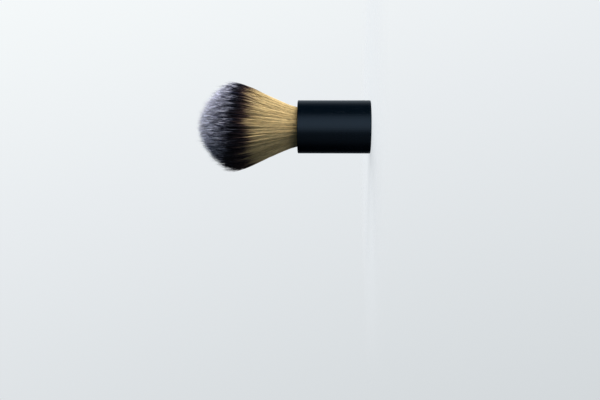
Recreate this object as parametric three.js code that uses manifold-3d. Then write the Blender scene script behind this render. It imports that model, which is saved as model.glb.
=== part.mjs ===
// A shaving brush that stands on its base: a plain black turned handle with a ballast inside, closed by a
// screwed base cap, and a flared knot of synthetic fibres set in a cup in the handle's socket.
// Millimetres, +Z up along the brush's axis, with the origin at the centre of the handle's flat bottom.
import * as THREE from "three";
import { mergeVertices } from "three/addons/utils/BufferGeometryUtils.js";
import Module from "manifold-3d";

const wasm = await Module();
wasm.setup();

// ---------- driving dimensions ----------
const GAP = 0.3; // between two pieces that touch on the real brush

const HANDLE_RADIUS = 15;
const HANDLE_HEIGHT = 41;
const RIM_ROUND = 0.4; // rounded edge at both ends of the handle
const MOUTH_CHAMFER = 0.25;
const STEEL_CHAMFER = 0.4; // broken edges of the ballast and its screw

const SOCKET_RADIUS = 11.7; // blind hole at the top that takes the knot
const SOCKET_DEPTH = 13.5;
const WEB_THICKNESS = 4; // solid floor between the socket and the ballast chamber
const CHAMBER_RADIUS = 12.2;
const CAP_RECESS_RADIUS = 12.8;
const CAP_RECESS_DEPTH = 5;

const SCREW_RADIUS = 2.5; // M5 cap screw
const SCREW_HEAD_RADIUS = 4.25;
const SCREW_HEAD_HEIGHT = 4.8;
const HEX_KEY_RADIUS = 2.3; // centre to corner of the screw's hexagon
const HEX_KEY_DEPTH = 2.5;

const SPANNER_HOLE_RADIUS = 1.3;
const SPANNER_HOLE_DEPTH = 2;
const SPANNER_HOLE_OFFSET = 7.5;
const SEAL_RADIUS = 0.75; // thickness radius of the O-ring
const SEAL_GROOVE_DEPTH = 1.9;

const CUP_WALL = 0.7;
const CUP_HEIGHT = 10.2;
const ROOT_PLUG_HEIGHT = 2.5;
const BINDING_TURNS = 4;
const BINDING_THREAD_RADIUS = 0.27;
const BINDING_HEIGHT = 1.2; // lowest turn, above the fibres' lower ends

const KNOT_MOUTH_RADIUS = 11.2; // where the fibres leave the handle
const BLOOM_RADIUS = 25.6; // widest part of the fibres
const BLOOM_HEIGHT = 35; // widest part, above the handle
const LOFT = 57; // free length of the fibres, from the handle to the top of the dome
const DOME_POWER = 1.68; // 2 would be an ellipse; less is more pointed
const FLARE_PULL = [14, 13]; // the radius, and height above the handle, that the flare sets off towards
const BLOOM_TURN = 5; // the flare turns upright over this height, just below its widest part

const WIDE_SIDES = 96; // facets round the handle and its cap
const KNOT_SIDES = 48;
const SMALL_SIDES = 36;
const SCREW_SIDES = 24; // facets round the screw and the spanner holes
const KNOT_STEPS = 8; // steps along the flare, and along the dome
const OVERCUT = 1; // how far a cutting tool sticks out of the face that it cuts

// ---------- heights worked out from them ----------
const socketFloor = HANDLE_HEIGHT - SOCKET_DEPTH;
const webUnderside = socketFloor - WEB_THICKNESS;
const chamberBottom = CAP_RECESS_DEPTH;
const capTop = chamberBottom - GAP;
const capRadius = CAP_RECESS_RADIUS - GAP;
const ballastBottom = chamberBottom + GAP;
const ballastTop = webUnderside - GAP;
const screwClearance = SCREW_RADIUS + GAP;
const screwHeadBottom = ballastBottom + GAP;
const screwShoulder = screwHeadBottom + SCREW_HEAD_HEIGHT;
const cupBottom = socketFloor + GAP;
const cupRadius = SOCKET_RADIUS - GAP;
const cupTop = cupBottom + CUP_HEIGHT;
const rootRadius = cupRadius - CUP_WALL - GAP;
const rootPlugBottom = cupBottom + CUP_WALL + GAP;
const fibreBottom = rootPlugBottom + ROOT_PLUG_HEIGHT + GAP;
const bindingWidth = 2 * BINDING_THREAD_RADIUS * BINDING_TURNS;
const bindingBottom = fibreBottom + BINDING_HEIGHT;
const waistRadius = rootRadius - 2 * BINDING_THREAD_RADIUS - GAP;

// ---------- materials ----------
const BLACK_ANODISED = { color: 0x12171d, roughness: 0.42, metalness: 0.6 };
const STEEL = { color: 0x8e9296, roughness: 0.4, metalness: 1 };
const SCREW_STEEL = { color: 0xb9bcc0, roughness: 0.3, metalness: 1 };
const SEAL_RUBBER = { color: 0x161616, roughness: 0.8, metalness: 0 };
const CUP_PLASTIC = { color: 0x2a2c30, roughness: 0.5, metalness: 0 };
const RESIN = { color: 0xc9b27a, roughness: 0.25, metalness: 0 };
const THREAD = { color: 0xd8cfb6, roughness: 0.9, metalness: 0 };
const FIBRE = { color: 0xa08d62, roughness: 0.7, metalness: 0 };

const brush = new THREE.Group();

function add(name, geometry, material) {
  const mesh = new THREE.Mesh(geometry, new THREE.MeshStandardMaterial(material));
  mesh.name = name;
  brush.add(mesh);
}

// ---------- shape helpers ----------
// Turns an outline of [radius, height] pairs about Z. The outline runs counter-clockwise as seen with
// the radius to the right and the height up, so that the faces point outwards.
function turned(outline, sides) {
  const points = outline.map(([radius, height]) => new THREE.Vector2(radius, height));
  return new THREE.LatheGeometry(points, sides).rotateX(Math.PI / 2);
}

// An outline that doesn't touch the axis, closed on its first point.
function turnedRing(outline, sides) {
  return turned([...outline, outline[0]], sides);
}

// Points on a circle's arc in the outline's plane, with the angles in quarter turns.
function arc(centreRadius, centreHeight, size, from, to, steps) {
  return Array.from({ length: steps + 1 }, (_, i) => {
    const angle = (from + ((to - from) * i) / steps) * (Math.PI / 2);
    return [centreRadius + size * Math.cos(angle), centreHeight + size * Math.sin(angle)];
  });
}

function solidOf(geometry) {
  const bare = geometry.clone();
  bare.deleteAttribute("normal");
  bare.deleteAttribute("uv");
  const merged = mergeVertices(bare, 1e-4);
  const vertProperties = merged.attributes.position.array;
  const triVerts = new Uint32Array(merged.index.array);
  return new wasm.Manifold(new wasm.Mesh({ numProp: 3, vertProperties, triVerts }));
}

// The geometry with the other geometries cut out of it.
function cut(geometry, ...tools) {
  const solid = tools.reduce((left, tool) => left.subtract(solidOf(tool)), solidOf(geometry));
  const mesh = solid.getMesh();
  return new THREE.BufferGeometry()
    .setAttribute("position", new THREE.BufferAttribute(mesh.vertProperties, 3))
    .setIndex(new THREE.BufferAttribute(mesh.triVerts, 1));
}

// An upright cylinder or prism, given by its radius, its lowest height and its highest height.
function upright(radius, low, high, sides) {
  return new THREE.CylinderGeometry(radius, radius, high - low, sides)
    .rotateX(Math.PI / 2)
    .translate(0, 0, (low + high) / 2);
}

// ---------- handle ----------
function handleSleeve() {
  const rim = HANDLE_RADIUS - RIM_ROUND;
  return turnedRing(
    [
      [CAP_RECESS_RADIUS + MOUTH_CHAMFER, 0],
      ...arc(rim, RIM_ROUND, RIM_ROUND, -1, 0, 4),
      ...arc(rim, HANDLE_HEIGHT - RIM_ROUND, RIM_ROUND, 0, 1, 4),
      [SOCKET_RADIUS + MOUTH_CHAMFER, HANDLE_HEIGHT],
      [SOCKET_RADIUS, HANDLE_HEIGHT - MOUTH_CHAMFER],
      [SOCKET_RADIUS, socketFloor],
      [screwClearance, socketFloor],
      [screwClearance, webUnderside],
      [CHAMBER_RADIUS, webUnderside],
      [CHAMBER_RADIUS, chamberBottom],
      [CAP_RECESS_RADIUS, chamberBottom],
      [CAP_RECESS_RADIUS, MOUTH_CHAMFER],
    ],
    WIDE_SIDES,
  );
}

// The cap has a groove round its edge for the seal, and two blind holes for a pin spanner underneath.
function baseCap() {
  const grooveBottom = capTop / 2 - SEAL_RADIUS - GAP;
  const grooveTop = capTop / 2 + SEAL_RADIUS + GAP;
  const grooveRadius = capRadius - SEAL_GROOVE_DEPTH;
  const disc = turned(
    [
      [0, 0],
      [capRadius - MOUTH_CHAMFER, 0],
      [capRadius, MOUTH_CHAMFER],
      [capRadius, grooveBottom],
      [grooveRadius, grooveBottom],
      [grooveRadius, grooveTop],
      [capRadius, grooveTop],
      [capRadius, capTop],
      [0, capTop],
    ],
    WIDE_SIDES,
  );
  const spannerHoles = [-1, 1].map((side) => {
    const hole = upright(SPANNER_HOLE_RADIUS, -OVERCUT, SPANNER_HOLE_DEPTH, SCREW_SIDES);
    return hole.translate(side * SPANNER_HOLE_OFFSET, 0, 0);
  });
  return cut(disc, ...spannerHoles);
}

function baseSealRing() {
  const middleRadius = capRadius - SEAL_GROOVE_DEPTH + GAP + SEAL_RADIUS;
  const circle = arc(middleRadius, capTop / 2, SEAL_RADIUS, 0, 4, 8);
  return turned(circle, SMALL_SIDES);
}

function ballastWeight() {
  const radius = CHAMBER_RADIUS - GAP;
  const counterboreRadius = SCREW_HEAD_RADIUS + GAP;
  const counterboreTop = screwShoulder + GAP;
  return turnedRing(
    [
      [counterboreRadius, ballastBottom],
      [radius - STEEL_CHAMFER, ballastBottom],
      [radius, ballastBottom + STEEL_CHAMFER],
      [radius, ballastTop - STEEL_CHAMFER],
      [radius - STEEL_CHAMFER, ballastTop],
      [screwClearance, ballastTop],
      [screwClearance, counterboreTop],
      [counterboreRadius, counterboreTop],
    ],
    SMALL_SIDES,
  );
}

// The screw goes up through the ballast into the web, with its head hanging in the counterbore.
function ballastScrew() {
  const tip = socketFloor - GAP;
  const blank = turned(
    [
      [0, screwHeadBottom],
      [SCREW_HEAD_RADIUS - STEEL_CHAMFER, screwHeadBottom],
      [SCREW_HEAD_RADIUS, screwHeadBottom + STEEL_CHAMFER],
      [SCREW_HEAD_RADIUS, screwShoulder],
      [SCREW_RADIUS, screwShoulder],
      [SCREW_RADIUS, tip - STEEL_CHAMFER],
      [SCREW_RADIUS - STEEL_CHAMFER, tip],
      [0, tip],
    ],
    SCREW_SIDES,
  );
  const socket = upright(HEX_KEY_RADIUS, screwHeadBottom - OVERCUT, screwHeadBottom + HEX_KEY_DEPTH, 6);
  return cut(blank, socket);
}

// ---------- knot ----------
function knotCup() {
  const inside = cupRadius - CUP_WALL;
  return turned(
    [
      [0, cupBottom],
      [cupRadius - MOUTH_CHAMFER, cupBottom],
      [cupRadius, cupBottom + MOUTH_CHAMFER],
      [cupRadius, cupTop],
      [inside, cupTop],
      [inside, cupBottom + CUP_WALL],
      [0, cupBottom + CUP_WALL],
    ],
    SMALL_SIDES,
  );
}

function rootPlug() {
  return upright(rootRadius, rootPlugBottom, rootPlugBottom + ROOT_PLUG_HEIGHT, SMALL_SIDES);
}

// Turns of thread side by side, drawn as one ring with a bulge for each turn.
function knotBinding() {
  const inside = waistRadius + GAP;
  const turns = Array.from({ length: BINDING_TURNS }, (_, i) => {
    const middle = bindingBottom + (2 * i + 1) * BINDING_THREAD_RADIUS;
    return arc(inside + BINDING_THREAD_RADIUS, middle, BINDING_THREAD_RADIUS, -1, 1, 4).slice(i ? 1 : 0);
  });
  return turnedRing(
    [[inside, bindingBottom], ...turns.flat(), [inside, bindingBottom + bindingWidth]],
    SMALL_SIDES,
  );
}

// The space that the fibres fill: a tied root, a flare on one smooth curve, and a slightly pointed dome.
function bristleKnot() {
  const bloomHeight = HANDLE_HEIGHT + BLOOM_HEIGHT;
  const domeHeight = LOFT - BLOOM_HEIGHT;
  const flare = new THREE.CubicBezierCurve(
    new THREE.Vector2(KNOT_MOUTH_RADIUS, HANDLE_HEIGHT),
    new THREE.Vector2(FLARE_PULL[0], HANDLE_HEIGHT + FLARE_PULL[1]),
    new THREE.Vector2(BLOOM_RADIUS, bloomHeight - BLOOM_TURN),
    new THREE.Vector2(BLOOM_RADIUS, bloomHeight),
  ).getPoints(KNOT_STEPS);
  const dome = Array.from({ length: KNOT_STEPS }, (_, i) => {
    const angle = ((i + 1) / KNOT_STEPS) * (Math.PI / 2);
    const radius = i + 1 < KNOT_STEPS ? BLOOM_RADIUS * Math.cos(angle) ** (2 / DOME_POWER) : 0;
    return [radius, bloomHeight + domeHeight * Math.sin(angle) ** (2 / DOME_POWER)];
  });
  const waistSlope = rootRadius - waistRadius;
  const waistBottom = bindingBottom - GAP;
  const waistTop = bindingBottom + bindingWidth + GAP;
  return turned(
    [
      [0, fibreBottom],
      [rootRadius, fibreBottom],
      [rootRadius, waistBottom - waistSlope / 2],
      [waistRadius, waistBottom],
      [waistRadius, waistTop],
      [rootRadius, waistTop + waistSlope],
      [rootRadius, cupTop],
      ...flare.map((point) => [point.x, point.y]),
      ...dome,
    ],
    KNOT_SIDES,
  );
}

add("handle_sleeve", handleSleeve(), BLACK_ANODISED);
add("base_cap", baseCap(), BLACK_ANODISED);
add("base_seal_ring", baseSealRing(), SEAL_RUBBER);
add("ballast_weight", ballastWeight(), STEEL);
add("ballast_screw", ballastScrew(), SCREW_STEEL);
add("knot_cup", knotCup(), CUP_PLASTIC);
add("root_plug", rootPlug(), RESIN);
add("knot_binding", knotBinding(), THREAD);
add("bristle_knot", bristleKnot(), FIBRE);

export default brush;
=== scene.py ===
"""The looks of a shaving brush that stands on its base: a satin black handle with a knot of banded fibres.

The camera lies on its side, so that the picture shows the brush lying with its fibres to the left: the
picture's up is the model's +X, its left is +Z, and the camera looks along +Y.
Lengths are in metres, and angles in degrees. MM turns millimetres into metres.
"""

import math

import bpy
import numpy as np
from mathutils import Matrix, Vector
from mathutils.kdtree import KDTree


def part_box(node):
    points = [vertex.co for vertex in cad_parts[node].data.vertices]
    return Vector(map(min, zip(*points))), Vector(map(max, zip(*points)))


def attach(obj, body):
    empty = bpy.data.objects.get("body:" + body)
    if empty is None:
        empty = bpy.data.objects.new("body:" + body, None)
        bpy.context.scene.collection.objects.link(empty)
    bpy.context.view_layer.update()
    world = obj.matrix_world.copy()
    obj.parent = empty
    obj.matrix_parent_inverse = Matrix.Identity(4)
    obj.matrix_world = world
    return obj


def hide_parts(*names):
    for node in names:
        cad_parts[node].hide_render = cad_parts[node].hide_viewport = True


MM = 0.001

# ---------- camera and stage ----------
CAMERA_DISTANCE = 0.448  # from the camera to the plane through the brush's axis
CAMERA_ABOVE_AXIS = 0.0165
CAMERA_BEFORE_BASE = 0.03975  # how far the camera stands from the base towards the fibres, along the picture
CAMERA_PITCH = 7.4  # downwards in the picture
BRUSH_YAW = 2.0  # the brush is turned by this much, which brings its base nearer the camera
LENS_MM = 47.3
SENSOR_MM = 36.0
LIT_POINT = (0, 0, 0.05)  # the lights face this point, about halfway up the brush
FLOOR_RADIUS = 0.15
FLOOR_SIDES = 96

# ---------- the knot's outline ----------
MOUTH_RADIUS = 11.0 * MM
MOUTH_BEND = 1.2 * MM  # how far inwards the bend at the mouth moves the flare
FLARE_START = 4 * MM  # over about this height the fibres bend outwards into the flare
FLARE_SLOPE = 0.465
CURL_START = 23 * MM  # from this height the fibres bend back towards upright
CURL_SPAN = 19 * MM
BLOOM_RADIUS = 25.6 * MM
BLOOM_HEIGHT = 35 * MM
DOME_POWER = 1.68  # a power of 2 would be an ellipse, and a smaller one is more pointed
DOME_SAMPLES = 200
CUP_INSET = 1.2 * MM  # from the outside of the cup in to the centre of the outermost fibre
BINDING_INSET = 0.9 * MM  # the same for the binding

# ---------- fibres ----------
SEED = 416
GOLDEN_ANGLE = math.pi * (3 - math.sqrt(5))

# Name, number of fibres, and how many rings each fibre has above the handle, from the axis outwards.
LAYERS = [
    ("core", 3000, 8),
    ("inner", 3000, 8),
    ("middle", 1750, 16),
    ("outer", 1750, 16),
    ("rim", 1750, 16),
    ("skin", 1750, 16),
]
FIBRE_COUNT = sum(count for _, count, _ in LAYERS)
FIBRE_SIDES = 3
FIBRE_RADIUS = 0.15 * MM
RADIUS_RANGE = (0.85, 1.15)  # the thinnest and the thickest fibre, as shares of that radius
SLIMMING = 0.45  # how much thinner a fibre is at the height of the knot's top than at the mouth
TIP_TAPER = 8.0 * MM
RING_CROWDING = 1.6  # above 1, a fibre's rings stand closer together towards its tip
FIBRE_JITTER = 0.45  # the spread round a fibre's even place, where 1 is about half the spacing

# ---------- how the fibres lie ----------
LOCK_COUNT = 3600
LOCK_JITTER = 0.8
LOCK_GATHER = 0.95  # how far the fibres of a lock draw together at their tips
GATHER_AT_AXIS = 0.5  # on the axis they draw together by this share of that
GATHER_START = 0.7  # from this share of a fibre's length upwards
LOOSENESS = 0.045  # the spread of the fibres' distances from the axis at the bloom, as a share of them
LOOSE_MIDDLE = 0.7  # the middle fibre lies inside its even place by this many spreads
LOOSE_LIMIT = 1.5  # no fibre lies outside the middle one by more than this many spreads
LOOSE_START = 15 * MM  # the looseness grows from this height above the handle
LOOSE_SPAN = 20 * MM
STRAY_SHARE = 0.08
LEAN_POWER = 3  # how steeply a fibre's lean grows along it
WAVE_LENGTHS = (11 * MM, 19 * MM)  # the shortest and the longest wave along a fibre
WAVE_START = 1 / 3  # a fibre's wave is full from this share of its length upwards

# How much the fibres differ: the spread that a lock's fibres share, and the spread of each fibre on its own.
TIP_SPREAD = (1.2 * MM, 0.7 * MM)
TIP_SPREAD_AT_AXIS = 0.4  # on the axis the tips differ by this share of that
LEAN_SPREAD = (0.6 * MM, 0.2 * MM)
STRAY_SPREAD = (0, 0.6 * MM)
WAVE_SPREAD = (0, 0.05 * MM)
TAN_SHIFT_SPREAD = (1.0 * MM, 1.6 * MM)  # how far the dyes are shifted along the fibres, below the dark band
GREY_SHIFT_SPREAD = (3.4 * MM, 1.6 * MM)  # the same above it
TONE_SPREAD = (0.05, 0.08)
BLEACH_AND_GLOW_SPREAD = (0.30, 0.15)

# ---------- dyes, with painted shade and light ---
SHADE_TILT = 0.28  # painted shade: towards -X, away from the light above, the grey zone takes darker dye, so towards +X the dark band's upper edge lies lower, by this share of the distance
SHADE_TILT_AXIS = 8 * MM  # at this distance towards +X it isn't moved
SHIFT_BLEND_START = 30 * MM  # from here on the shift changes from the tan's to the grey's
SHIFT_BLEND_SPAN = 8 * MM
LARGEST_DROP = 5 * MM  # no dye is taken from further below than this, up to the darkest height
DARKEST_HEIGHT = 32 * MM
RING_TONE_SPREAD = 0.07  # how much the tone differs from ring to ring of a fibre
BLEACHED_GLOWING_TIP = 7.0 * MM  # the bleaching, partly a painted glow of light through the thin tips, fades out over this length below the tip
BLEACH_AND_GLOW_STRENGTH = 0.8
BLEACH_AND_GLOW_START = 34 * MM  # below this height, shifted as the dyes are, nothing is bleached or painted with glow
BLEACH_AND_GLOW_SPAN = 11 * MM
LIGHT_AND_SHADE_FLECKS_PER_METRE = (1000, 1000, 240)  # painted shade and light; they are about 1 mm wide and 4 mm long

# ---------- the bake's map -------------
BAKE_MAP = "OFBake"  # the name of the UV map for colours to be baked into
BAKE_COLUMNS = 1000  # the most fibres side by side in that map
BAKE_MARGIN = 0.01  # how much of each row stays empty at its bottom and at its top

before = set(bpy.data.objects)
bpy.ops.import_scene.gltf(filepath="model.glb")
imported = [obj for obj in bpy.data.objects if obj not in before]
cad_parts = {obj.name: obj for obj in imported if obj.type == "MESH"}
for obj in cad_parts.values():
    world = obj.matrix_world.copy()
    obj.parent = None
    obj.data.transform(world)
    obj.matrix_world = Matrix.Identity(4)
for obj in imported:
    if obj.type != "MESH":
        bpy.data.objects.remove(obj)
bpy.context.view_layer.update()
rng = np.random.default_rng(SEED)

knot_low, knot_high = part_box("bristle_knot")
_, handle_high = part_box("handle_sleeve")
_, binding_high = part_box("knot_binding")
_, cup_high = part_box("knot_cup")
LOFT = knot_high.z - handle_high.z


# ---------- helpers ----------
def linear(red, green, blue):
    """A colour given as 0 to 255 screen values, as the linear values that the shaders take."""
    channels = [c / 255 for c in (red, green, blue)]
    return [c / 12.92 if c <= 0.04045 else ((c + 0.055) / 1.055) ** 2.4 for c in channels] + [1.0]


def grey(value):
    """A linear value as a colour."""
    return (value, value, value, 1)


def new_material(name):
    """A plain Principled material, with its node tree and its shader."""
    material = bpy.data.materials.new(name)
    material.use_nodes = True
    return material, material.node_tree, material.node_tree.nodes["Principled BSDF"]


def node(tree, kind, **settings):
    """A new node with some of its properties set."""
    made = tree.nodes.new(kind)
    for key, value in settings.items():
        setattr(made, key, value)
    return made


def ramp(tree, stops):
    """A colour ramp of (position, colour) stops."""
    made = node(tree, "ShaderNodeValToRGB")
    elements = made.color_ramp.elements
    elements[0].position, elements[0].color = stops[0]
    elements[1].position, elements[1].color = stops[-1]
    for position, colour in stops[1:-1]:
        element = elements.new(position)
        element.color = colour
    return made


def rise(value, start, span):
    """0 up to start, 1 from start + span on, and in between a straight line."""
    return np.clip((value - start) / span, 0, 1)


def outwards(share, at_axis):
    """A factor that grows from at_axis on the axis to 1 at the rim."""
    return at_axis + (1 - at_axis) * share


# ---------- camera ----------
def place_camera():
    """The camera looks at the brush from beside it, and lies on its side."""
    yaw, pitch = math.radians(BRUSH_YAW), math.radians(CAMERA_PITCH)
    picture_right = Vector((0, math.sin(yaw), -math.cos(yaw)))
    picture_away = Vector((0, math.cos(yaw), math.sin(yaw)))
    picture_up = Vector((1, 0, 0))
    forward = math.cos(pitch) * picture_away - math.sin(pitch) * picture_up
    up = math.sin(pitch) * picture_away + math.cos(pitch) * picture_up
    place = (
        -CAMERA_BEFORE_BASE * picture_right
        - CAMERA_DISTANCE * picture_away
        + CAMERA_ABOVE_AXIS * picture_up
    )
    data = bpy.data.cameras.new("camera")
    data.lens = LENS_MM
    data.sensor_width = SENSOR_MM
    data.clip_start = 0.01
    camera = bpy.data.objects.new("camera", data)
    turn = Matrix((picture_right, up, -forward)).transposed().to_4x4()
    camera.matrix_world = Matrix.Translation(place) @ turn
    bpy.context.scene.collection.objects.link(camera)
    bpy.context.scene.camera = camera


# ---------- lights ----------
def area_light(name, place, size, power, colour):
    """A soft rectangular light that faces the brush, and that nothing mirrors."""
    data = bpy.data.lights.new(name, "AREA")
    data.shape = "RECTANGLE"
    data.size, data.size_y = size
    data.energy = power
    data.color = colour
    light = bpy.data.objects.new(name, data)
    light.location = place
    towards_brush = Vector(LIT_POINT) - Vector(place)
    light.rotation_euler = towards_brush.to_track_quat("-Z", "Y").to_euler()
    light.visible_glossy = False
    bpy.context.scene.collection.objects.link(light)


def light_scene():
    """In the picture: a strong light above, a faint one up past the fibres' tips, and a wide one behind."""
    area_light("key_softbox", (1.20, -0.42, -0.25), (0.60, 1.20), 34, (1.0, 0.97, 0.93))
    area_light("tip_softbox", (0.95, -0.10, 1.00), (0.80, 0.80), 6, (1.0, 0.98, 0.96))
    area_light("back_softbox", (0.60, 1.20, 0.70), (1.20, 1.20), 24, (1.0, 0.99, 0.97))


# ---------- surround ----------
BACKDROP = [(0.0, linear(212, 217, 220)), (0.6, linear(232, 236, 239)), (1.0, linear(245, 249, 250))]

# What the handle mirrors: the middle of each glow, where it starts and is full along that axis, its strength.
GLOWS = [
    ((0.30, 1, 0), 0.40, 1.00, 0.24),
    ((0.50, 1, 0), 0.80, 1.00, 0.20),
    ((0.37, -1, 0), 0.70, 1.04, 0.90),
    ((-0.50, -1, 0), 0.40, 1.10, 0.14),
]


def lean_along(tree, axis, low, high, interpolation="LINEAR"):
    """How far a ray's direction leans along an axis, as 0 at low to 1 at high."""
    direction = node(tree, "ShaderNodeTexCoord")
    lean = node(tree, "ShaderNodeVectorMath", operation="DOT_PRODUCT")
    lean.inputs[1].default_value = Vector(axis).normalized()
    share = node(tree, "ShaderNodeMapRange", interpolation_type=interpolation)
    share.inputs["From Min"].default_value = low
    share.inputs["From Max"].default_value = high
    tree.links.new(direction.outputs["Generated"], lean.inputs[0])
    tree.links.new(lean.outputs["Value"], share.inputs["Value"])
    return share


def seen_backdrop(tree):
    """What the camera sees: a pale backdrop, brightest at the picture's top left."""
    seen = node(tree, "ShaderNodeBackground")
    across = lean_along(tree, (1, 0, 0.3), -0.42, 0.22)
    shade = ramp(tree, BACKDROP)
    tree.links.new(across.outputs["Result"], shade.inputs["Fac"])
    tree.links.new(shade.outputs["Color"], seen.inputs["Color"])
    return seen.outputs["Background"]


def cool_fill(tree):
    """What lights the brush from all round: a dim bluish fill, stronger from the picture's top."""
    fill = node(tree, "ShaderNodeBackground")
    fill.inputs["Color"].default_value = (0.60, 0.80, 1.0, 1)
    strength = lean_along(tree, (1, 0, 0), -1, 1)
    strength.inputs["To Min"].default_value = 0.10
    strength.inputs["To Max"].default_value = 0.36
    tree.links.new(strength.outputs["Result"], fill.inputs["Strength"])
    return fill.outputs["Background"]


def mirrored_glows(tree):
    """What the handle mirrors: darkness with a few soft bluish glows."""
    mirrored = node(tree, "ShaderNodeBackground")
    mirrored.inputs["Color"].default_value = (0.80, 0.90, 1.0, 1)
    total = None
    for axis, low, high, strength in GLOWS:
        glow = lean_along(tree, axis, low, high, "SMOOTHSTEP")
        glow.inputs["To Max"].default_value = strength
        if total is None:
            total = glow.outputs["Result"]
            continue
        added = node(tree, "ShaderNodeMath", operation="ADD")
        tree.links.new(total, added.inputs[0])
        tree.links.new(glow.outputs["Result"], added.inputs[1])
        total = added.outputs[0]
    tree.links.new(total, mirrored.inputs["Strength"])
    return mirrored.outputs["Background"]


def make_world():
    """The camera, the mirroring surfaces and everything else each get a surround of their own."""
    world = bpy.data.worlds.new("surround")
    world.use_nodes = True
    bpy.context.scene.world = world
    tree = world.node_tree
    tree.nodes.clear()
    link = tree.links.new
    rays = node(tree, "ShaderNodeLightPath")
    by_gloss = node(tree, "ShaderNodeMixShader")
    by_camera = node(tree, "ShaderNodeMixShader")
    out = node(tree, "ShaderNodeOutputWorld")
    link(rays.outputs["Is Glossy Ray"], by_gloss.inputs[0])
    link(cool_fill(tree), by_gloss.inputs[1])
    link(mirrored_glows(tree), by_gloss.inputs[2])
    link(rays.outputs["Is Camera Ray"], by_camera.inputs[0])
    link(by_gloss.outputs[0], by_camera.inputs[1])
    link(seen_backdrop(tree), by_camera.inputs[2])
    link(by_camera.outputs[0], out.inputs["Surface"])


# ---------- floor ----------
def floor_material():
    """A matt floor with a glow of its own, which fades to clear at its rim, so that no horizon shows."""
    material, tree, shader = new_material("floor")
    link = tree.links.new
    shader.inputs["Base Color"].default_value = linear(150, 152, 154)
    shader.inputs["Roughness"].default_value = 1.0
    shader.inputs["Emission Color"].default_value = linear(232, 236, 239)
    shader.inputs["Emission Strength"].default_value = 0.70
    shader.inputs["Specular IOR Level"].default_value = 0.0
    place = node(tree, "ShaderNodeTexCoord")
    distance = node(tree, "ShaderNodeVectorMath", operation="LENGTH")
    fade = node(tree, "ShaderNodeMapRange", interpolation_type="SMOOTHSTEP")
    fade.inputs["From Max"].default_value = FLOOR_RADIUS
    clear = node(tree, "ShaderNodeBsdfTransparent")
    mix = node(tree, "ShaderNodeMixShader")
    link(place.outputs["Object"], distance.inputs[0])
    link(distance.outputs["Value"], fade.inputs["Value"])
    link(fade.outputs["Result"], mix.inputs[0])
    link(shader.outputs[0], mix.inputs[1])
    link(clear.outputs[0], mix.inputs[2])
    link(mix.outputs[0], tree.nodes["Material Output"].inputs["Surface"])
    return material


def make_floor():
    """A disc under the brush, for its shadow."""
    turns = [2 * math.pi * side / FLOOR_SIDES for side in range(FLOOR_SIDES)]
    rim = [(FLOOR_RADIUS * math.cos(turn), FLOOR_RADIUS * math.sin(turn), 0) for turn in turns]
    mesh = bpy.data.meshes.new("floor")
    mesh.from_pydata(rim, [], [range(FLOOR_SIDES)])
    mesh.materials.append(floor_material())
    floor = bpy.data.objects.new("floor", mesh)
    floor.visible_glossy = False
    floor.visible_shadow = False
    bpy.context.scene.collection.objects.link(floor)


# ---------- the solids' materials ----------
NOISE_LOW, NOISE_HIGH = 0.3, 0.7  # nearly all of a noise's values lie between these two

SLOT_NODES = {
    "black_anodised": ["handle_sleeve", "base_cap"],
    "seal_rubber": ["base_seal_ring"],
    "ballast_steel": ["ballast_weight"],
    "screw_steel": ["ballast_screw"],
    "cup_plastic": ["knot_cup"],
    "root_resin": ["root_plug"],
    "binding_thread": ["knot_binding"],
}

# For each slot: darker and lighter colour, least and most roughness, metallic, grain size, turned or not.
FINISHES = {
    "black_anodised": ([(1, 5, 10), (3, 8, 15)], (0.22, 0.27), 0, 0.8 * MM, True),
    "seal_rubber": ([(22, 22, 23), (33, 33, 34)], (0.70, 0.90), 0, 0.3 * MM, False),
    "ballast_steel": ([(142, 144, 147), (170, 172, 174)], (0.28, 0.48), 1, 0.3 * MM, True),
    "screw_steel": ([(176, 178, 181), (196, 198, 200)], (0.22, 0.34), 1, 0.4 * MM, True),
    "cup_plastic": ([(60, 61, 63), (70, 71, 73)], (0.45, 0.60), 0, 0.5 * MM, False),
    "root_resin": ([(178, 150, 92), (206, 184, 132)], (0.12, 0.25), 0, 4.0 * MM, False),
    "binding_thread": ([(188, 176, 146), (224, 216, 192)], (0.80, 0.95), 0, 0.2 * MM, False),
}
COOL_SHEEN = (0.62, 0.80, 1.0, 1)  # the tint of the anodised surfaces' highlights


def ring_place(tree):
    """A point's distance from the axis and its height: a noise over them makes rings, like turning marks."""
    place = node(tree, "ShaderNodeTexCoord")
    flatten = node(tree, "ShaderNodeVectorMath", operation="MULTIPLY")
    flatten.inputs[1].default_value = (1, 1, 0)
    radius = node(tree, "ShaderNodeVectorMath", operation="LENGTH")
    parts = node(tree, "ShaderNodeSeparateXYZ")
    folded = node(tree, "ShaderNodeCombineXYZ")
    tree.links.new(place.outputs["Object"], flatten.inputs[0])
    tree.links.new(flatten.outputs["Vector"], radius.inputs[0])
    tree.links.new(place.outputs["Object"], parts.inputs["Vector"])
    tree.links.new(radius.outputs["Value"], folded.inputs["X"])
    tree.links.new(parts.outputs["Z"], folded.inputs["Z"])
    return folded.outputs["Vector"]


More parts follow.
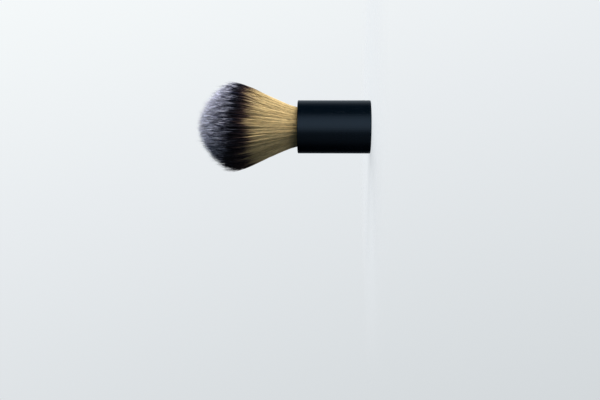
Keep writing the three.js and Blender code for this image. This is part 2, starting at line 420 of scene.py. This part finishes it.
def grained_material(name, colours, roughness, metallic, grain, turned):
    """A material, and its shader, whose colour and roughness vary over grains, or turned rings, of a size."""
    material, tree, shader = new_material(name)
    link = tree.links.new
    shader.inputs["Metallic"].default_value = metallic
    vector = ring_place(tree) if turned else node(tree, "ShaderNodeTexCoord").outputs["Object"]
    cloud = node(tree, "ShaderNodeTexNoise")
    cloud.inputs["Scale"].default_value = 1 / grain
    cloud.inputs["Detail"].default_value = 2
    colour = ramp(tree, [(NOISE_LOW, linear(*colours[0])), (NOISE_HIGH, linear(*colours[1]))])
    rough = node(tree, "ShaderNodeMapRange")
    rough.inputs["From Min"].default_value = NOISE_LOW
    rough.inputs["From Max"].default_value = NOISE_HIGH
    rough.inputs["To Min"].default_value, rough.inputs["To Max"].default_value = roughness
    link(vector, cloud.inputs["Vector"])
    link(cloud.outputs["Fac"], colour.inputs["Fac"])
    link(cloud.outputs["Fac"], rough.inputs["Value"])
    link(colour.outputs["Color"], shader.inputs["Base Color"])
    link(rough.outputs["Result"], shader.inputs["Roughness"])
    return material, shader


def dress_solids():
    """Gives the CAD nodes, apart from the fibres' stand-in, their materials."""
    for slot, nodes in SLOT_NODES.items():
        material, shader = grained_material(slot, *FINISHES[slot])
        if slot == "black_anodised":
            shader.inputs["Specular Tint"].default_value = COOL_SHEEN
        for name in nodes:
            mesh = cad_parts[name].data
            mesh.materials.clear()
            mesh.materials.append(material)


# ---------- the fibres' material ----------
# Heights in these lists are millimetres above the handle.
# Painted shade: the tan darkens towards the mouth, where the handle's rim shades it. The top stops are partly
# the tips' own pale colour, partly painted light on and through them.
DYES_AND_PAINTED_LIGHT_BY_HEIGHT = [
    (0.0, linear(168, 148, 105)),
    (4.5, linear(193, 170, 122)),
    (9.0, linear(206, 182, 132)),
    (21.5, linear(206, 184, 135)),
    (24.8, linear(184, 161, 120)),
    (28.0, linear(82, 64, 60)),
    (30.5, linear(38, 29, 34)),
    (33.0, linear(18, 17, 26)),
    (35.5, linear(14, 15, 27)),
    (38.5, linear(26, 28, 46)),
    (42.0, linear(44, 46, 70)),
    (48.0, linear(92, 94, 117)),
    (51.5, linear(168, 169, 184)),
    (54.5, linear(216, 216, 225)),
    (57.0, linear(240, 239, 243)),
]
LIGHT_AND_SHADE_FLECKS_BY_HEIGHT = [(31, grey(0.08)), (37, grey(1)), (46, grey(1)), (56, grey(0))]  # how strong the painted shade and light of the flecks is

# These multiply the dyes.
TONES = [(0.0, (0.45, 0.44, 0.42, 1)), (0.5, (0.90, 0.89, 0.88, 1)), (1.0, (1.30, 1.28, 1.25, 1))]
# Painted shade and light: the dark flecks stand for shaded gaps between clumps, the pale ones for lit clumps.
LIGHT_AND_SHADE_FLECK_COLOURS = [(0.42, (0.08, 0.08, 0.12, 1)), (0.60, grey(2.4))]


def fibre_value(tree, name):
    """One of the values that fibre_shades gives to each point of the fibres."""
    return node(tree, "ShaderNodeAttribute", attribute_name=name).outputs["Fac"]


def by_height(tree, stops):
    """The colour of the stops at the height that a fibre's dye is taken from."""
    colours = ramp(tree, [(height * MM / LOFT, colour) for height, colour in stops])
    tree.links.new(fibre_value(tree, "dye_and_shade"), colours.inputs["Fac"])
    return colours.outputs["Color"]


def light_and_shade_flecks(tree):
    """Painted shade in dark flecks, as in gaps between clumps of tips, and painted light in pale ones, as on
    lit clumps; longer along the brush than across it.
    """
    place = node(tree, "ShaderNodeTexCoord")
    stretch = node(tree, "ShaderNodeMapping")
    stretch.inputs["Scale"].default_value = LIGHT_AND_SHADE_FLECKS_PER_METRE
    clump_light_and_shade = node(tree, "ShaderNodeTexNoise")
    clump_light_and_shade.inputs["Scale"].default_value = 1.0
    clump_light_and_shade.inputs["Detail"].default_value = 1.0
    colours = ramp(tree, LIGHT_AND_SHADE_FLECK_COLOURS)
    tree.links.new(place.outputs["Object"], stretch.inputs["Vector"])
    tree.links.new(stretch.outputs["Vector"], clump_light_and_shade.inputs["Vector"])
    tree.links.new(clump_light_and_shade.outputs["Fac"], colours.inputs["Fac"])
    return colours.outputs["Color"]


def fibre_material():
    """Dyed fibres: a colour for each height, with painted shade and light in it, a tone that differs along
    and between them, painted flecks of shade and light, and pale tips that partly glow with painted light.
    """
    material, tree, shader = new_material("fibre")
    link = tree.links.new
    shader.inputs["Roughness"].default_value = 0.38
    shader.inputs["Specular IOR Level"].default_value = 0.25

    tones = ramp(tree, TONES)
    toned = node(tree, "ShaderNodeMix", data_type="RGBA", blend_type="MULTIPLY")
    toned.inputs[0].default_value = 1.0
    link(fibre_value(tree, "tone"), tones.inputs["Fac"])
    link(by_height(tree, DYES_AND_PAINTED_LIGHT_BY_HEIGHT), toned.inputs["A"])
    link(tones.outputs["Color"], toned.inputs["B"])

    # Pale tips: partly the fibres' own bleached colour, partly a painted glow of light through the thin tips.
    bleached_and_glowing = node(tree, "ShaderNodeMix", data_type="RGBA")
    bleached_and_glowing.inputs["B"].default_value = linear(222, 224, 240)
    link(fibre_value(tree, "bleach_and_glow"), bleached_and_glowing.inputs[0])
    link(toned.outputs["Result"], bleached_and_glowing.inputs["A"])

    # Painted shade and light in flecks over the grey zone.
    light_and_shade_flecked = node(tree, "ShaderNodeMix", data_type="RGBA", blend_type="MULTIPLY")
    link(by_height(tree, LIGHT_AND_SHADE_FLECKS_BY_HEIGHT), light_and_shade_flecked.inputs[0])
    link(bleached_and_glowing.outputs["Result"], light_and_shade_flecked.inputs["A"])
    link(light_and_shade_flecks(tree), light_and_shade_flecked.inputs["B"])
    link(light_and_shade_flecked.outputs["Result"], shader.inputs["Base Color"])
    return material


# ---------- where the fibres run ----------
def flare_radius(height):
    """How far out an outermost fibre is, at a height above the handle."""
    bend = MOUTH_BEND * (1 - np.exp(-height / FLARE_START))
    past = np.clip(height - CURL_START, 0, None)
    curling = np.minimum(past, CURL_SPAN)
    curl = FLARE_SLOPE * (curling**2 / (2 * CURL_SPAN) + past - curling)
    return MOUTH_RADIUS + FLARE_SLOPE * height - bend - curl


def tip_height(share):
    """The height above the handle of the dome over a fibre whose distance from the axis is that share."""
    heights = np.linspace(BLOOM_HEIGHT, LOFT, DOME_SAMPLES)
    climb = (heights - BLOOM_HEIGHT) / (LOFT - BLOOM_HEIGHT)
    dome = BLOOM_RADIUS * np.clip(1 - climb**DOME_POWER, 0, 1) ** (1 / DOME_POWER)
    shares = dome / flare_radius(heights)
    return np.interp(share, shares[::-1], heights[::-1])


def on_disc(count, jitter):
    """Points along a sunflower spiral over a disc of radius 1, each shaken out of its even place."""
    number = np.arange(count) + 0.5
    share, angle = np.sqrt(number / count), GOLDEN_ANGLE * number
    points = np.stack([share * np.cos(angle), share * np.sin(angle)], axis=1)
    points += jitter / math.sqrt(count) * rng.standard_normal((count, 2))
    return points / np.maximum(np.linalg.norm(points, axis=1, keepdims=True), 1)


def nearest(points, centres):
    """For each point, the number of the nearest centre."""
    tree = KDTree(len(centres))
    for number, (x, y) in enumerate(centres):
        tree.insert((x, y, 0), number)
    tree.balance()
    return np.array([tree.find((x, y, 0))[1] for x, y in points])


def plant_fibres():
    """Each fibre's place on a disc of radius 1, from the axis outwards, its lock and the lock's place."""
    place = on_disc(FIBRE_COUNT, FIBRE_JITTER)
    place = place[np.argsort(np.linalg.norm(place, axis=1))]
    lock_place = on_disc(LOCK_COUNT, LOCK_JITTER)
    lock = nearest(place, lock_place)
    return place, lock, lock_place[lock]


def uneven(lock, spreads):
    """A normal spread over the fibres, of which the fibres of a lock share a part."""
    by_lock, by_fibre = spreads
    shared = by_lock * rng.standard_normal(LOCK_COUNT)[lock]
    return shared + by_fibre * rng.standard_normal(len(lock))


def sway(lock, stray, steps, above):
    """How far each fibre leans and waves to one side, at each ring."""
    lean = uneven(lock, LEAN_SPREAD) + stray * uneven(lock, STRAY_SPREAD)
    lean = lean[:, None] * steps**LEAN_POWER
    wave_length = rng.uniform(*WAVE_LENGTHS, len(lock))[:, None]
    wave = uneven(lock, WAVE_SPREAD)[:, None] * rise(steps, 0, WAVE_START)
    phase = 2 * math.pi * rng.random(len(lock))[:, None]
    return lean + wave * np.sin(2 * math.pi * above / wave_length + phase)


def free_lines(place, lock, lock_place, rings):
    """The heights of the fibres' tips and rings above the handle, and the rings' places across the knot."""
    share = np.linalg.norm(place, axis=1)
    tip = tip_height(share) + uneven(lock, TIP_SPREAD) * outwards(share, TIP_SPREAD_AT_AXIS)
    steps = 1 - np.linspace(1, 0, rings) ** RING_CROWDING
    above = tip[:, None] * steps

    gathering = rise(steps, GATHER_START, 1 - GATHER_START)
    gather = (LOCK_GATHER * outwards(share, GATHER_AT_AXIS))[:, None] * gathering
    towards_lock = (lock_place - place)[:, None, :] * gather[:, :, None]

    spread = np.minimum(rng.standard_normal(len(place)), LOOSE_LIMIT)[:, None] - LOOSE_MIDDLE
    loose = 1 + LOOSENESS * spread * rise(above, LOOSE_START, LOOSE_SPAN)
    spot = (place[:, None, :] + towards_lock) * (flare_radius(above) * loose)[:, :, None]

    stray = rng.random(len(place)) < STRAY_SHARE
    for side in (0, 1):
        spot[:, :, side] += sway(lock, stray, steps, above)
    return tip, above, spot


def hidden_lines(place):
    """The rings below the mouth, as (fibre, ring, xyz): through the binding and on up the cup."""
    waist_radius = binding_high.x - BINDING_INSET
    root_radius = cup_high.x - CUP_INSET
    rings = [(knot_low.z, waist_radius), (binding_high.z, waist_radius), (cup_high.z, root_radius)]
    levels = [np.column_stack([place * radius, np.full(len(place), height)]) for height, radius in rings]
    return np.stack(levels, axis=1)


def fibre_thickness(tip, above, hidden_rings):
    """The fibres' radius at each ring, as (fibre, ring)."""
    size = FIBRE_RADIUS * rng.uniform(*RADIUS_RANGE, len(tip))[:, None]
    slim = 1 - SLIMMING * np.clip(above / LOFT, 0, 1)
    taper = rise(tip[:, None] - above, 0, TIP_TAPER)
    return np.concatenate([np.repeat(size, hidden_rings, axis=1), size * slim * taper], axis=1)


def fibre_shades(lock, tip, centre):
    """At each ring of each fibre: how far up the loft its dye is taken from, moved to paint shade on the -X
    side, its tone, and its bleaching with its painted glow.
    """
    height = centre[:, :, 2] - handle_high.z
    tan_shift = uneven(lock, TAN_SHIFT_SPREAD)[:, None]
    # Painted shade: the grey zone takes darker dye towards -X, away from the light above.
    grey_shift_and_shade = uneven(lock, GREY_SHIFT_SPREAD)[:, None] + SHADE_TILT * (centre[:, :, 0] - SHADE_TILT_AXIS)
    upper = rise(height, SHIFT_BLEND_START, SHIFT_BLEND_SPAN)
    shifted = height + tan_shift * (1 - upper) + grey_shift_and_shade * upper
    lowest = np.minimum(height - LARGEST_DROP, DARKEST_HEIGHT)
    dye_and_shade = np.clip(np.maximum(shifted, lowest) / LOFT, 0, 1)

    own_tone = uneven(lock, TONE_SPREAD)[:, None] + RING_TONE_SPREAD * rng.standard_normal(height.shape)
    tone = np.clip(0.5 + own_tone * (1 + upper), 0, 1)

    # Pale tips: partly the fibres' own bleached colour, partly a painted glow of light through the thin tips.
    strength = np.clip(BLEACH_AND_GLOW_STRENGTH + uneven(lock, BLEACH_AND_GLOW_SPREAD)[:, None], 0, 1)
    strength = strength * rise(height + grey_shift_and_shade, BLEACH_AND_GLOW_START, BLEACH_AND_GLOW_SPAN)
    below_tip = tip[:, None] - height
    bleach_and_glow = strength * np.clip(1 - below_tip / BLEACHED_GLOWING_TIP, 0, 1)
    return {"dye_and_shade": dye_and_shade, "tone": tone, "bleach_and_glow": bleach_and_glow}


# ---------- the fibres' meshes ----------
ACROSS_FIBRES = np.array([0.31, 0.95, 0.05])  # no fibre runs in this direction


def fibre_points(centre, thickness):
    """The corners of each fibre's rings, and the point that it ends in, as (fibre, point, xyz)."""
    direction = np.gradient(centre, axis=1)
    direction /= np.linalg.norm(direction, axis=-1, keepdims=True)
    side = np.cross(direction, ACROSS_FIBRES)
    side /= np.linalg.norm(side, axis=-1, keepdims=True)
    other = np.cross(direction, side)
    spin = 2 * math.pi * rng.random(len(centre))[:, None, None]
    corners = []
    for corner in range(FIBRE_SIDES):
        turn = spin + 2 * math.pi * corner / FIBRE_SIDES
        offset = np.cos(turn) * side + np.sin(turn) * other
        corners.append(centre + offset * thickness[:, :, None])
    tube = np.stack(corners, axis=2)[:, :-1].reshape(len(centre), -1, 3)
    return np.concatenate([tube, centre[:, -1:]], axis=1)


def fibre_faces(rings):
    """The points of one fibre's faces: the quads up its sides, and the triangles at its tip and root."""
    sides = np.arange(FIBRE_SIDES)
    after = (sides + 1) % FIBRE_SIDES
    quads = []
    for ring in range(rings - 2):
        low, high = ring * FIBRE_SIDES, (ring + 1) * FIBRE_SIDES
        quads.append(np.stack([low + sides, low + after, high + after, high + sides], axis=1))
    last, end = (rings - 2) * FIBRE_SIDES, (rings - 1) * FIBRE_SIDES
    tip = np.stack([last + sides, last + after, np.full(FIBRE_SIDES, end)], axis=1)
    root = sides[::-1][None, :]
    return np.concatenate(quads), np.concatenate([tip, root])


def unwrap_fibres(mesh, count, rings):
    """Gives each fibre an upright column of the bake's map.

    Without it, a bake's islands can be thinner than the map's pixels, and the fibres lose their colours.
    The corners are in the mesh's order: the quads of all fibres, then the triangles of all fibres.
    """
    rows = math.ceil(count / BAKE_COLUMNS)
    columns = math.ceil(count / rows)
    left = np.arange(count)[:, None] % columns
    bottom = np.arange(count)[:, None] // columns
    last = rings - 2
    quad = [(0, 0), (1, 0), (1, 1), (0, 1)]
    quads = [(across, ring + up) for ring in range(last) for _ in range(FIBRE_SIDES) for across, up in quad]
    tip = [(0, last), (1, last), (0.5, last + 1)] * FIBRE_SIDES
    root = [(0, 0), (0.5, 0), (1, 0)]
    corners = []
    for faces in (quads, tip + root):
        across, up = np.array(faces).T
        inside = BAKE_MARGIN + (1 - 2 * BAKE_MARGIN) * up / (rings - 1)
        spots = [(left + across) / columns, (bottom + inside) / rows]
        corners.append(np.stack(spots, axis=2).reshape(-1, 2))
    bake_map = mesh.uv_layers.new(name=BAKE_MAP)
    bake_map.data.foreach_set("uv", np.concatenate(corners).astype(np.float32).ravel())


def shade_fibres(mesh, shades):
    """Stores each ring's shades on its points."""
    for label, values in shades.items():
        by_point = np.concatenate([np.repeat(values[:, :-1], FIBRE_SIDES, axis=1), values[:, -1:]], axis=1)
        attribute = mesh.attributes.new(label, "FLOAT", "POINT")
        attribute.data.foreach_set("value", by_point.astype(np.float32).ravel())


def fibre_mesh(name, centre, thickness, shades):
    """Closed three-sided filaments, each ending in a point, as one mesh."""
    count, rings = centre.shape[:2]
    points = fibre_points(centre, thickness)
    per_fibre = points.shape[1]
    starts = (np.arange(count) * per_fibre)[:, None, None]
    quads, triangles = fibre_faces(rings)
    quads = (starts + quads).reshape(-1, 4)
    triangles = (starts + triangles).reshape(-1, 3)
    loops = np.concatenate([quads.ravel(), triangles.ravel()])
    sizes = np.concatenate([np.full(len(quads), 4), np.full(len(triangles), 3)])
    loop_starts = np.concatenate([[0], np.cumsum(sizes)[:-1]])

    mesh = bpy.data.meshes.new(name)
    mesh.vertices.add(count * per_fibre)
    mesh.vertices.foreach_set("co", points.astype(np.float32).ravel())
    mesh.loops.add(len(loops))
    mesh.loops.foreach_set("vertex_index", loops.astype(np.int32))
    mesh.polygons.add(len(sizes))
    mesh.polygons.foreach_set("loop_start", loop_starts.astype(np.int32))
    mesh.polygons.foreach_set("use_smooth", np.ones(len(sizes), bool))
    mesh.update(calc_edges=True)
    mesh.validate()
    unwrap_fibres(mesh, count, rings)
    shade_fibres(mesh, shades)
    return mesh


def make_layer(label, place, lock, lock_place, rings):
    """One layer of the knot's fibres."""
    tip, above, spot = free_lines(place, lock, lock_place, rings)
    hidden = hidden_lines(place)
    free = np.concatenate([spot, (handle_high.z + above)[:, :, None]], axis=2)
    centre = np.concatenate([hidden, free], axis=1)
    thickness = fibre_thickness(tip, above, hidden.shape[1])
    shades = fibre_shades(lock, tip, centre)
    name = "fibres_" + label
    piece = bpy.data.objects.new(name, fibre_mesh(name, centre, thickness, shades))
    bpy.context.scene.collection.objects.link(piece)
    return piece


def make_fibres():
    """Replaces the knot's plain stand-in with its fibres, layer by layer."""
    place, lock, lock_place = plant_fibres()
    material = fibre_material()
    first = 0
    for label, count, rings in LAYERS:
        chosen = slice(first, first + count)
        first += count
        piece = make_layer(label, place[chosen], lock[chosen], lock_place[chosen], rings)
        piece.data.materials.append(material)
        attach(piece, "root")
        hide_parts("bristle_knot")


place_camera()
light_scene()
make_world()
make_floor()
dress_solids()
make_fibres()
bpy.context.scene.view_settings.view_transform = "Standard"
